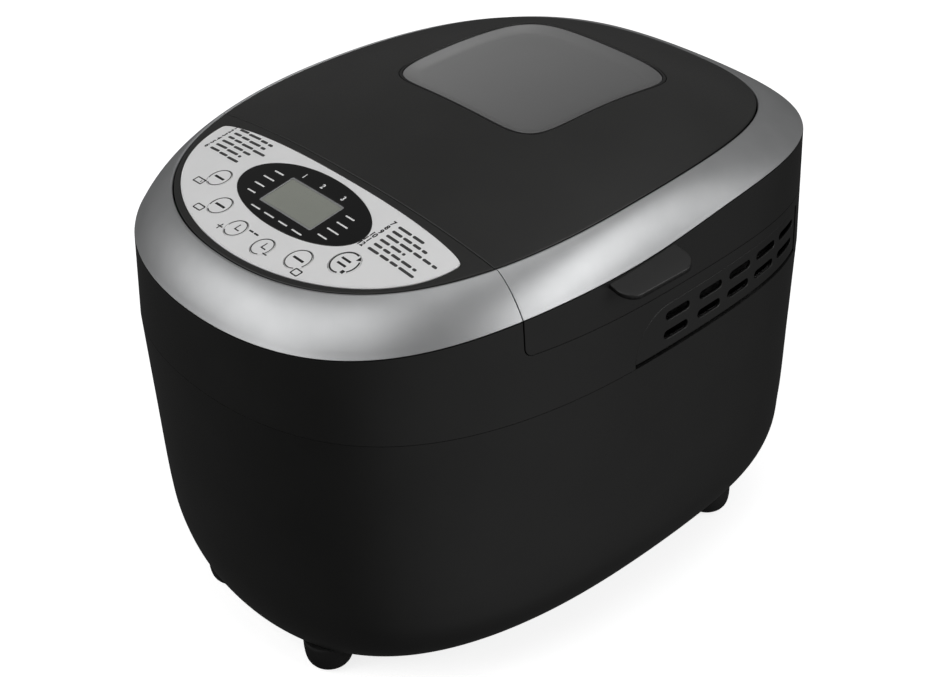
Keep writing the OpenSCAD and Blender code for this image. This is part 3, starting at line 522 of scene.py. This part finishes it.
def band_solid():
    y0 = SPLIT - CUT
    nl, nu = 8, 4

    def low_f(i, d):
        return lambda p: band(p, t_skirt(p) * i / nl, d)

    def up_f(i, d):
        return lambda p: band(p, t_skirt(p) + (1 - t_skirt(p)) * i / nu, d)
    parts, keep = [], {}
    for d in (0, WALL):
        lower, fr, bk = [], [], []
        for i in range(nl + 1):
            f = low_f(i, d)
            cf, cb = cols_front(f, y0, 130), cols_back(f, y0, 190)
            F_, B_ = f(cf), f(cb)
            lower.append(np.concatenate([B_, F_[::-1][1:-1]]))
            last = (F_, B_)
        upper = [last[0]]
        for i in range(1, nu + 1):
            f = up_f(i, d)
            upper.append(f(cols_front(f, y0, 130)))
        keep[d] = (lower, upper, last)
        parts.append(grid(lower, close_j=True))
        parts.append(grid(upper))
    (lo0, up0, l0), (lo1, up1, l1) = keep[0], keep[WALL]
    parts.append(grid([lo0[0], lo1[0]], close_j=True))
    parts.append(grid([l0[1], l1[1]]))
    parts.append(grid([up0[-1], up1[-1]]))
    for j in (0, -1):
        parts.append(grid([[r[j] for r in up0], [r[j] for r in up1]]))
    return join(parts)


def vent2d(d, m=14):
    a = np.linspace(0, math.pi / 2, m)
    P = [(19 - (28.5 + d) * math.cos(t), SEAM_Z + 2.3 + (27.6 + d) * math.sin(t)) for t in a]
    return np.array(P + [(148 + d, SEAM_Z + 31.5 + d), (148 + d, SEAM_Z + .35 - 5 * d), (-9.5 - d, SEAM_Z + .35 - 5 * d)])


def vent_tool(side):
    P = vent2d(.3)
    n = len(P)
    V = np.array([(side * x, q[0], q[1]) for x in (100, 200) for q in P])
    return V, [[i, (i + 1) % n, n + (i + 1) % n, n + i] for i in range(n)] + [list(range(n)), list(range(2 * n - 1, n - 1, -1))]


notch = [box(-158, -138, y + s * 11.5 - 4.3, y + s * 11.5 + 4.3, 219.4, 229.4) for y in HINGE_YS for s in (-1, 1)]
make("upper_band_shell", band_solid(), "housing", "black_plastic", "upper_band", bevel=.45, cuts=[vent_tool(1), vent_tool(-1)] + notch)


def side_x(y, z):
    """x of the band's outer face at height z and station y"""
    y, z = np.asarray(y, float), np.asarray(z, float)
    lo, hi = np.full(y.shape, .02), np.full(y.shape, math.pi - .02)
    for _ in range(40):
        m = (lo + hi) / 2
        S, L = seamr(m, 0, .15), lor(m, 0, -.2)
        t = (z - S[..., 2]) / (L[..., 2] - S[..., 2])
        yy = S[..., 1] + (L[..., 1] - S[..., 1]) * t
        lo, hi = np.where(yy > y, m, lo), np.where(yy > y, hi, m)
    return S[..., 0] + (L[..., 0] - S[..., 0]) * t


SLOT_Y = [25.5, 54.2, 81.3, 107.6, 133.2]


def slot(y, z):
    return np.concatenate([arc(y + 7.5, z, 2.5, -90, 90, 9), arc(y - 7.5, z, 2.5, 90, 270, 9)])


def vent_panel(side):
    holes = [slot(y - r * 1.6, SEAM_Z + (21.2, 9.8)[r] + .012 * y) for y in SLOT_Y for r in (0, 1)]
    out = resample(vent2d(-.3), 190)
    V, F = plate(out, holes, zt=-.45, zb=-2.6, edge=[.5] + [.7] * 10, spacing=3.2, zf=side_x)
    W = np.stack([side * V[:, 2], V[:, 0], V[:, 1]], -1)
    return W, F


for side, nm in ((1, "right"), (-1, "left")):
    make("vent_panel_" + nm, vent_panel(side), "housing", "black_plastic", "vent_grille_" + nm)

# ---------------------------------------------------------------- trim ring
BZ = [(0, 0), (.22, .36), (.62, .80), (1, 1)]


def bez(t):
    c = [(1 - t) ** 3, 3 * t * (1 - t) ** 2, 3 * t * t * (1 - t), t ** 3]
    return sum(a * q[0] for a, q in zip(c, BZ)), sum(a * q[1] for a, q in zip(c, BZ))


def ring_rows():
    rows = []

    def m(A, B, tx, tz):
        return lambda p: mix(A(p), B(p), tx, tz)
    L = lambda p: lor(p, .1, .2)
    H = lambda p: hir(p, 0, -.1)
    Lu = lambda p: lor(p, .9, .2)
    rows.append(Lu)
    rows.append(lambda p: lor(p, .38, .28))
    rows.append(lambda p: lor(p, .14, .55))
    for t in np.linspace(.05, .955, 15):
        rows.append(m(L, H, *bez(t)))
    rows.append(lambda p: hir(p, .15, .02))
    rows.append(lambda p: hir(p, .55, .30))
    rows.append(lambda p: hir(p, 1.15, .36))
    rows.append(lambda p: hir(p, 1.65, .12))
    rows.append(lambda p: hir(p, 1.95, -.45))
    rows.append(lambda p: hir(p, 2.05, -2.6))
    Li = lambda p: lor(p, 2.4, .2)
    Hi = lambda p: hir(p, 2.2, -2.6)
    for t in (.9, .7, .5, .3, .12):
        rows.append(m(Li, Hi, *bez(t)))
    rows.append(Li)
    return rows


def ring_part(front):
    y0 = SPLIT - GAP / 2 if front else SPLIT + GAP / 2
    R = [f((cols_front(f, y0, 170) if front else cols_back(f, y0, 260))) for f in ring_rows()]
    return grid(R, close_k=True, caps=True)


make("front_ring", ring_part(True), "housing", "silver_trim", "front_trim_ring", bevel=.22, seg=2, angle=60)
make("lid_ring", ring_part(False), "lid", "silver_trim", "lid_trim_ring", bevel=.22, seg=2, angle=60)

# ---------------------------------------------------------------- lid skirt with its front wall
def cross(z0, y, d, e):
    P = [(146.2 + e, z0), (146.2 + e, 236), (145 + e, 241), (142 + e, 248), (138, 253.5), (132, 259.5), (126, 264.5)]
    P += [(x, float(crown(x, y)) - d) for x in range(120, -121, -10)]
    P += [(-126, 264.5), (-132, 259.5), (-138, 253.5), (-142 - e, 248), (-145 - e, 241), (-146.2 - e, 236), (-146.2 - e, z0)]
    return P


def wall(y0, y1, P):
    n = len(P)
    V = np.array([(x, y, z) for y in (y0, y1) for x, z in P])
    return V, [[i, (i + 1) % n, n + (i + 1) % n, n + i] for i in range(n)] + [list(range(n)), list(range(2 * n - 1, n - 1, -1))]


def skirt_solid():
    y0, r, n = SPLIT + CUT, RF, 7

    def f(i, d):
        def g(p):
            P0 = band(p, 0, d)
            # lower edge rises in a fillet at the front corner
            yy = band(p, .56, d)[:, 1]
            q = np.clip(r - (yy - y0), 0, r)
            zb = SKIRT + GAP + r - np.sqrt(r * r - q * q)
            S, L = seamr(p, d, .15), lor(p, d, -.2)
            tb = (zb - S[:, 2]) / (L[:, 2] - S[:, 2])
            return band(p, tb + (1 - tb) * i / n, d)
        return g
    out, inn = [], []
    for i in range(n + 1):
        for d, lst in ((0, out), (WALL, inn)):
            g = f(i, d)
            lst.append(g(cols_back(g, y0, 230)))
    return grid(out + inn[::-1], close_k=True, caps=True)


hinge_cuts = [box(-160, -138, y - 7.1, y + 7.1, 220, 232) for y in HINGE_YS]
make("lid_skirt_shell", join([skirt_solid(), wall(SPLIT + .2, SPLIT + 2.6, cross(228.4, SPLIT + 1, 3.2, 1.3))]), "lid", "black_plastic", "lid_skirt", bevel=.4, cuts=hinge_cuts)


# ---------------------------------------------------------------- crown parts: lid, fascia, overlay, bezel
def crown_loop(front, d, n):
    f = lambda p: hir(p, d, 0)
    y0 = SPLIT - GAP / 2 if front else SPLIT + GAP / 2
    p0 = at_y(f, y0)
    ph = np.linspace(p0, 2 * math.pi - p0, n) if front else np.linspace(p0, -p0, n)
    C = f(ph)[:, :2]
    w = C[0, 0]
    k = int(2 * w / 3.0)
    xs = np.linspace(-w, w, k)[1:-1]
    line = np.stack([xs, np.full_like(xs, y0)], -1)
    C[0, 1] = C[-1, 1] = y0
    return np.concatenate([C, line if not front else line[::1]])


def WIN(d, m=150):
    return sell(WIN_A + d, WIN_B + d, 6.4, WIN_X, WIN_Y, m)


make("lid_top_shell", plate(crown_loop(False, 2.65, 260), [WIN(.75)], zt=-.15, zb=-2.5, edge=[.7, .9], spacing=5), "lid", "lid_plastic", "lid_shell")

fas = crown_loop(True, 2.65, 150)
shelf_holes = [rrect(33, 17, 3, 0, LCD_Y)]


def key_loop(b, r, n=56):
    nm, x, y, _ = b
    nn = normal(x, y)
    e1 = Vector((1, 0, 0)).cross(nn).normalized()
    e2 = nn.cross(e1)
    t = np.linspace(0, 2 * math.pi, n, endpoint=False)
    return np.array([(x + r * (math.cos(a) * e1.x + math.sin(a) * e2.x), y + r * (math.cos(a) * e1.y + math.sin(a) * e2.y)) for a in t])


keyholes = [key_loop(b, b[3] + .34) for b in BUTTONS]
make("panel_fascia", join([plate(fas, [dshape(.55)], zt=-.15, zb=-1.24, edge=[.7, .35], spacing=5),
                           plate(crown_loop(True, 2.9, 150), shelf_holes + keyholes, zt=-1.25, zb=-2.8, edge=0, spacing=6)]),
     "housing", "lid_plastic", "control_fascia")
bez_o = sell(55.3, 23.5, 2.06, .6, BEZ_Y, 150)
make("panel_face", plate(dshape(0), [bez_o] + keyholes, zt=0.0, zb=-1.15, edge=[.25, .1] + [.12] * 6, spacing=3.2), "housing", "overlay_film", "panel_overlay")
make("bezel_oval", plate(sell(55.1, 23.3, 2.06, .6, BEZ_Y, 150), [rrect(24.7, 11.9, 1.0, .6, LCD_Y + .5)], zt=.18, zb=-1.15, edge=[.3, .25], spacing=3.2), "housing", "gloss_black", "display_bezel")
make("display_glass", plate(rrect(24.4, 11.6, .8, .6, LCD_Y + .5), [], zt=-.35, zb=-1.6, edge=.1, spacing=3), "housing", "lcd", "display_lens")
make("display_rim", plate(rrect(24.55, 11.75, .9, .6, LCD_Y + .5), [rrect(23.7, 10.9, .6, .6, LCD_Y + .5)], zt=.05, zb=-.34, edge=.12, spacing=0), "housing", "silver_trim")
for b in BUTTONS:
    key = plate(key_loop(b, b[3]), [], zt=.06, zb=-3.7, edge=.22, spacing=2.2)
    flange = plate(key_loop(b, b[3] + 1), [], zt=-3.6, zb=-4.4, edge=0, spacing=3)
    make("key_" + b[0], join([key, flange]), "button_%s_key" % b[0], "overlay_film", "button_" + b[0])

# ---------------------------------------------------------------- window
make("window_rim", plate(WIN(.6), [WIN(-1.0)], zt=-.55, zb=-7.2, edge=[.3, .5], spacing=0), "lid", "gloss_black", "window_frame")


def dish():
    rows = []
    prof = [(-1.15, -1.2), (-1.35, -.95), (-1.75, -.9), (-2.3, -1.2), (-3.6, -2.2), (-5.4, -3.5), (-7.2, -4.6), (-8.6, -5.15), (-10, -5.35), (-12, -5.4)]
    for d, z in prof:
        P = WIN(d)
        rows.append(np.column_stack([P, crown(P[:, 0], P[:, 1]) + z]))
    low = WIN(-1.15)
    parts = [grid(rows, close_j=True)]
    V, F = triangulate([orient(WIN(-12), True)], 4.5)
    parts.append((np.column_stack([V, crown(V[:, 0], V[:, 1]) - 5.4]), F))
    parts.append(grid([rows[0], np.column_stack([low, crown(low[:, 0], low[:, 1]) - 7.4])], close_j=True))
    V, F = triangulate([orient(low, True)], 6)
    parts.append((np.column_stack([V, crown(V[:, 0], V[:, 1]) - 7.4]), F))
    return join(parts)


make("window_pane", dish(), "lid", "smoked_glass", "window_outer")


# ---------------------------------------------------------------- finger tab
def tab_loop():
    y, P = -3.0, [(146.2, -28.4), (152.5, -28.4)]
    P += [tuple(q) for q in arc(158.6, y - 15.6, 9.9, -98, -4, 14)]
    P += [tuple(q) for q in arc(158.6, y + 15.6, 9.9, 4, 98, 14)]
    P += [(152.5, 22.4), (146.2, 22.4)]
    return resample(np.array(P), 130)


def tab_z(x, y):
    return 251.25 + .061 * (y + 3) - .185 * (x - 152) - .0035 * np.maximum(x - 156, 0) ** 2


make("finger_tab", plate(tab_loop(), [], zt=0, zb=-2.7, edge=.8, spacing=2.5, zf=tab_z), "lid", "black_plastic", "handle_tab")


# ---------------------------------------------------------------- printed marks, generic
def mark(outer, holes=(), h=.07):
    return plate(outer, holes, zt=h, zb=-.12, edge=0, spacing=0)


def bar(x, y, w, t=.8):
    return mark(rrect(w / 2, t / 2, t / 2 - .02, x + w / 2, y, 3))


def arc_mark(cx, cy, r, w, a0, a1):
    n = max(6, int(abs(a1 - a0) / 7))
    return mark(np.concatenate([arc(cx, cy, r + w, a0, a1, n), arc(cx, cy, r, a1, a0, n)]))


def line_mark(x0, y0, x1, y1, t=.7):
    d = np.array([x1 - x0, y1 - y0], float)
    l = np.linalg.norm(d)
    d /= l
    n = np.array([-d[1], d[0]]) * t / 2
    a, b = np.array([x0, y0]), np.array([x1, y1])
    return mark(np.array([a - n, b - n, b + n, a + n]))


def digits(text, x, y, size, h=.07, bold=0.0):
    cu = bpy.data.curves.new("t", "FONT")
    cu.body, cu.size, cu.extrude, cu.resolution_u, cu.offset = text, size, .5, 3, bold
    ob = bpy.data.objects.new("t", cu)
    scene.collection.objects.link(ob)
    bpy.context.view_layer.update()
    me = bpy.data.meshes.new_from_object(ob.evaluated_get(bpy.context.evaluated_depsgraph_get()))
    V = np.array([tuple(v.co) for v in me.vertices])
    F = [list(p.vertices) for p in me.polygons]
    bpy.data.objects.remove(ob)
    bpy.data.curves.remove(cu)
    bpy.data.meshes.remove(me)
    X, Y = V[:, 0] + x, V[:, 1] + y
    return np.stack([X, Y, crown(X, Y) + np.where(V[:, 2] > 0, h, -.12)], -1), F


def words(x0, x1, y, slope, t, seed):
    """a row of plain bars of uneven length between x0 and x1"""
    rng = np.random.default_rng(seed)
    out, x = [], x0
    while x < x1 - 1.5:
        w = min(rng.uniform(5.5, 12.5), x1 - x)
        if x1 - x - w < 3:
            w = x1 - x
        out.append(bar(x, y + slope * (x + w / 2 - x0), w, t))
        x += w + 1.3
    return out


dark, grey, light = [], [], []
for i, x1 in enumerate((-61.5, -63, -57.4, -66.5, -70, -67)):
    y = -91.6 - 4.25 * i
    dark.append(digits(str(i + 1), -102.9, y - 1.5, 4.7, bold=.17))
    grey += words(-97.4, x1, y, -.045, 1.75, i + 1)
for i, x1 in enumerate((85, 92.5, 105.5, 84.5, 98.8, 101.8)):
    y = -97.0 - 4.1 * i
    dark.append(digits(str(i + 7), 57.7 - (0 if i < 3 else 2.5), y - 1.5, 4.7, bold=.17))
    grey += words(63.6, x1, y, .012, 1.75, i + 21)
# plain signs beside the keys
dark += [line_mark(-23.9, -155.9, -19.3, -155.9, .8), line_mark(-21.6, -153.6, -21.6, -155.5, .8), line_mark(-21.6, -156.3, -21.6, -158.2, .8)]
dark += [line_mark(19.6, -155.5, 23.4, -155.5, .85)]
dark += [bar(-4.0, -148.0, 3.7, 1.15), bar(.6, -148.0, 4.0, 1.15)]
dark.append(mark(rrect(4.2, 2.3, .5, -71.6, -137.4), [rrect(3.4, 1.5, .3, -71.6, -137.4)]))
dark.append(line_mark(-69.8, -138.1, -69.8, -136.7, .6))
dark.append(mark(rrect(3.9, 2.3, 1.1, -48.2, -152.6), [rrect(3.1, 1.5, .7, -48.2, -152.6)]))
dark.append(mark(rrect(3.1, 2.5, .9, 48.9, -153.9), [rrect(2.3, 1.7, .5, 48.9, -153.9)]))
make("panel_print", join(dark), "housing", "overlay_film", mat=MAT["print_dark"], wn=False)
make("panel_lists", join(grey), "housing", "overlay_film", mat=MAT["print_grey"], wn=False)
# painted highlight: a thin light ring in light ink along the D outline stands in for the bright edge highlight of
# the overlay
make("panel_rim_painted_highlight", plate(dshape(-.12), [dshape(-.85)], zt=.05, zb=-.12, edge=0, spacing=0), "housing", "overlay_film", mat=MAT["print_light"], wn=False)
for n_, x in (("1", -18.1), ("2", -.7), ("3", 18.6)):
    light.append(digits(n_, x - 1.5, LCD_Y + 15.0, 4.8, .24, bold=.14))


def lbar(x, y, w, t):
    return plate(rrect(w / 2, t / 2, t / 2 - .02, x, y, 3), [], zt=.24, zb=-.05, edge=0, spacing=0)


for i in range(4):
    light.append(lbar(-34.4 - (1.2 if i in (1, 2) else 0), -106.9 - 6.4 * i, (8.4, 10.2, 9.4, 7.6)[i], .95))
    light.append(lbar(35.6 + (1.2 if i in (1, 2) else 0), -108.6 - 6.25 * i, (7.6, 9.6, 10.4, 8.2)[i], .95))
    light.append(lbar(-19.2 + 13.2 * i, -133.6, (8.6, 9.2, 8.2, 9.0)[i], .95))
make("bezel_print", join(light), "housing", "gloss_black", mat=MAT["print_light"], wn=False)
RINGS = {"menu": [(242, 568)], "size": [(237, 563)], "time_up": [(222, 545)], "time_down": [(-24, 300)], "colour": [(-22, 303)], "start": [(76, 292), (-32, 38)]}
for nm, x, y, r in BUTTONS:
    g = []

    def kplate(P):
        g.append(plate(P, [], zt=.13, zb=-.05, edge=0, spacing=0))

    def kline(x0, y0, x1, y1, t=.7):
        d = np.array([x1 - x0, y1 - y0], float)
        d /= np.linalg.norm(d)
        n = np.array([-d[1], d[0]]) * t / 2
        a, b = np.array([x0, y0]), np.array([x1, y1])
        kplate(np.array([a - n, b - n, b + n, a + n]))
    for a0, a1 in RINGS[nm]:
        w, q = (.95, 1.35) if nm == "start" else (.62, .92)
        k = max(8, int((a1 - a0) / 6))
        kplate(np.concatenate([arc(x, y, r - q + w, a0, a1, k), arc(x, y, r - q, a1, a0, k)]))
    if nm.startswith("time"):
        kline(x - .1, y - 1.1, x - .1, y + 3.4, .75)
        kline(x + .27, y - .72, x + 3.7, y - .72, .75)
    elif nm == "start":
        kline(x - 4.9, y + 1.9, x + 2.6, y + 1.9, 1.4)
        kline(x - 3.9, y - 1.9, x + 3.2, y - 1.9, 1.4)
        kplate(rrect(1.15, 1.15, .15, x + 5.1, y - 5.4))
        kplate(np.array([(x + 3.6, y + 8.0), (x + 6.2, y + 6.1), (x + 3.6, y + 4.6)]))
    else:
        kline(x - 4.4, y, x + 4.4, y, 1.5)
    make("key_mark_" + nm, join(g), "button_%s_key" % nm, "overlay_film", mat=MAT["print_dark"], wn=False)

# ---------------------------------------------------------------- floor, light, camera
fl = bpy.data.meshes.new("floor")
fl.from_pydata([(-14, -14, 0), (14, -14, 0), (14, 14, 0), (-14, 14, 0)], [], [(0, 1, 2, 3)])
floor = bpy.data.objects.new("floor", fl)
scene.collection.objects.link(floor)
fm = finish_mat("pale_floor", (.60, .60, .60), (.59, .59, .59), .9, spec=.05, grain=60, bump=0.0, mottle=2)
fm.node_tree.nodes["Principled BSDF"].inputs["Emission Color"].default_value = (1, 1, 1, 1)
fm.node_tree.nodes["Principled BSDF"].inputs["Emission Strength"].default_value = .78
floor.data.materials.append(fm)
floor.visible_glossy = False
floor.visible_diffuse = False

world = bpy.data.worlds.new("studio")
scene.world = world
world.use_nodes = True
wn, wl = world.node_tree.nodes, world.node_tree.links
wt = wn.new("ShaderNodeTexCoord")
ws = wn.new("ShaderNodeSeparateXYZ")
wl.new(wt.outputs["Generated"], ws.inputs["Vector"])
wr = wn.new("ShaderNodeValToRGB")
e = wr.color_ramp.elements
e[0].position, e[0].color = .46, (.10, .10, .10, 1)
e[1].position, e[1].color = .62, (.34, .34, .34, 1)
k = e.new(.53)
k.color = (.20, .20, .20, 1)
k = e.new(1.0)
k.color = (.42, .42, .42, 1)
wm = wn.new("ShaderNodeMapRange")
wm.inputs["From Min"].default_value, wm.inputs["From Max"].default_value = -1, 1
wl.new(ws.outputs["Z"], wm.inputs["Value"])
wl.new(wm.outputs["Result"], wr.inputs["Fac"])
wl.new(wr.outputs["Color"], wn["Background"].inputs["Color"])
wn["Background"].inputs["Strength"].default_value = .55
# pale bounce from the right and below
bx_, bz_, bm_, bb_, ba_ = (wn.new(k) for k in ("ShaderNodeMapRange", "ShaderNodeMapRange", "ShaderNodeMath", "ShaderNodeBackground", "ShaderNodeAddShader"))
bx_.inputs["From Min"].default_value, bx_.inputs["From Max"].default_value = .22, .85
bz_.inputs["From Min"].default_value, bz_.inputs["From Max"].default_value = .02, -.15
bx_.inputs["To Max"].default_value = .46
wl.new(ws.outputs["X"], bx_.inputs["Value"])
wl.new(ws.outputs["Z"], bz_.inputs["Value"])
bm_.operation = "MULTIPLY"
wl.new(bx_.outputs["Result"], bm_.inputs[0])
wl.new(bz_.outputs["Result"], bm_.inputs[1])
wl.new(bm_.outputs["Value"], bb_.inputs["Strength"])
wl.new(wn["Background"].outputs["Background"], ba_.inputs[0])
wl.new(bb_.outputs["Background"], ba_.inputs[1])
wl.new(ba_.outputs["Shader"], wn["World Output"].inputs["Surface"])


def area(name, loc, target, size, power, sy=None):
    d = bpy.data.lights.new(name, "AREA")
    d.energy, d.size = power, size
    if sy:
        d.shape, d.size_y = "RECTANGLE", sy
    o = bpy.data.objects.new(name, d)
    o.location = loc
    o.rotation_euler = (Vector(target) - Vector(loc)).to_track_quat("-Z", "Y").to_euler()
    scene.collection.objects.link(o)
    return o


area("right", (2.55, 1.12, 1.38), (0, 0, .2), 2.1, 33, 1.4)
area("left_front", (-1.32, -2.3, 1.40), (0, 0, .2), 2.4, 25, 1.5)
area("front_top", (.25, -1.95, 2.35), (0, 0, .2), 1.8, 15, 1.4)
area("top", (.2, .5, 2.9), (0, 0, .2), 2.6, 16)

cam = bpy.data.cameras.new("camera")
co = bpy.data.objects.new("camera", cam)
scene.collection.objects.link(co)
scene.camera = co
fwd, up = Vector((-.66927, .52158, -.52918)), Vector((-.38798, .36208, .84757))
rt = fwd.cross(up).normalized()
up = rt.cross(fwd).normalized()
from mathutils import Matrix
M3 = Matrix((rt, up, -fwd.normalized())).transposed()
co.matrix_world = Matrix.Translation((.77395, -.59815, .75194)) @ M3.to_4x4()
cam.sensor_width = 36
cam.lens = 1871.5 / 940 * 36
cam.shift_x, cam.shift_y = -11.6 / 940, -13.7 / 940
cam.clip_start, cam.clip_end = .01, 60
scene.view_settings.view_transform = "Standard"
